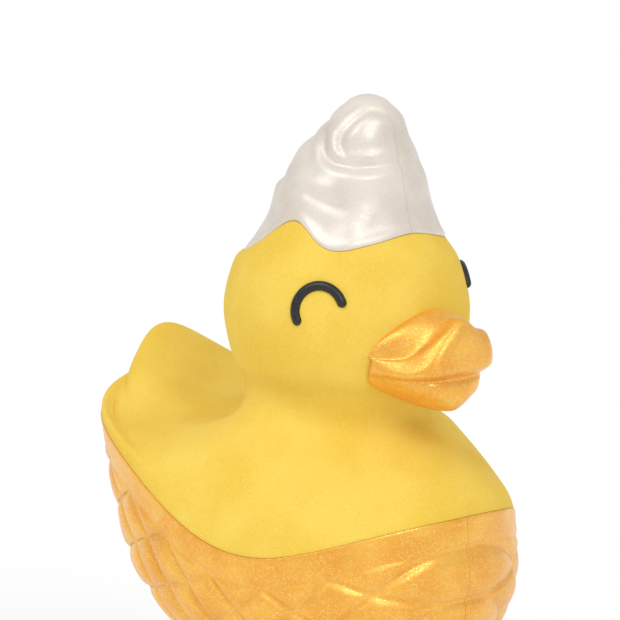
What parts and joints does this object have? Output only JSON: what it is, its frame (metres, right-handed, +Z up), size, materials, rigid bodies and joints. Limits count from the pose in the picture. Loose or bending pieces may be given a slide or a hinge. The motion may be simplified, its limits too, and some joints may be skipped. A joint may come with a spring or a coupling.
{
  "type": "floating chlorine dispenser",
  "caption": "Duck-shaped pool float with a pearl crest and a quilted gold hull, on a slotted tablet canister with a turning flow sleeve, a breech-lock ring and a weighted foot.",
  "frame": {"origin": "middle of the base foot's underside, on the shared upright axis of the canister, sleeve, lock ring and socket", "axes": "+Z up; the duck faces -Y, so +X is the duck's left"},
  "size_m": [0.1556, 0.1934, 0.3116],
  "materials": {
    "yellow_velvet": "matt yellow with a powdery, velvety surface",
    "gold_pearl": "gold pearl lustre, satin, with a fine sparkle",
    "white_pearl": "white pearl lustre, satin",
    "black_gloss": "glossy black",
    "natural_nylon": "natural nylon",
    "white_abs": "moulded white, semi-gloss",
    "blue_abs": "moulded blue, semi-gloss",
    "black_rubber": "matt black rubber",
    "stainless_steel": "bright stainless steel",
    "canister_polypropylene": "white polypropylene, slightly waxy",
    "blue_polypropylene": "blue polypropylene, slightly waxy",
    "zinc": "cast zinc, dull grey"
  },
  "bodies": {
    "feeder": {"canister": "canister_polypropylene", "base_foot": "blue_polypropylene", "ballast_disc": "zinc", "foot_screw_1": "stainless_steel", "foot_screw_2": "stainless_steel", "foot_screw_3": "stainless_steel"},
    "sleeve": {"flow_sleeve": "blue_polypropylene"},
    "float": {"float_body": "yellow_velvet", "hull_right": "gold_pearl", "hull_left": "gold_pearl", "crest_right": "white_pearl", "crest_left": "white_pearl", "bill": "gold_pearl", "bill_retainer": "natural_nylon", "eye_right": "black_gloss", "eye_left": "black_gloss", "socket_cup": "white_abs", "socket_gasket": "black_rubber", "socket_screw_1": "stainless_steel", "socket_screw_2": "stainless_steel", "socket_screw_3": "stainless_steel", "socket_screw_4": "stainless_steel", "socket_screw_5": "stainless_steel", "socket_screw_6": "stainless_steel"},
    "ring": {"lock_ring": "blue_abs"}
  },
  "joints": [
    {"name": "float_lift", "type": "slide", "parent": "feeder", "child": "float", "axis": [0, 0, 1], "range_m": [0, 0.1]},
    {"name": "lock_ring_turn", "type": "hinge", "parent": "float", "child": "ring", "pos_m": [0, 0, 0.066], "axis": [0, 0, 1], "range_deg": [0, 60]},
    {"name": "flow_sleeve_turn", "type": "hinge", "parent": "feeder", "child": "sleeve", "pos_m": [0, 0, 0.034], "axis": [0, 0, 1], "range_deg": [0, 22.5]}
  ]
}
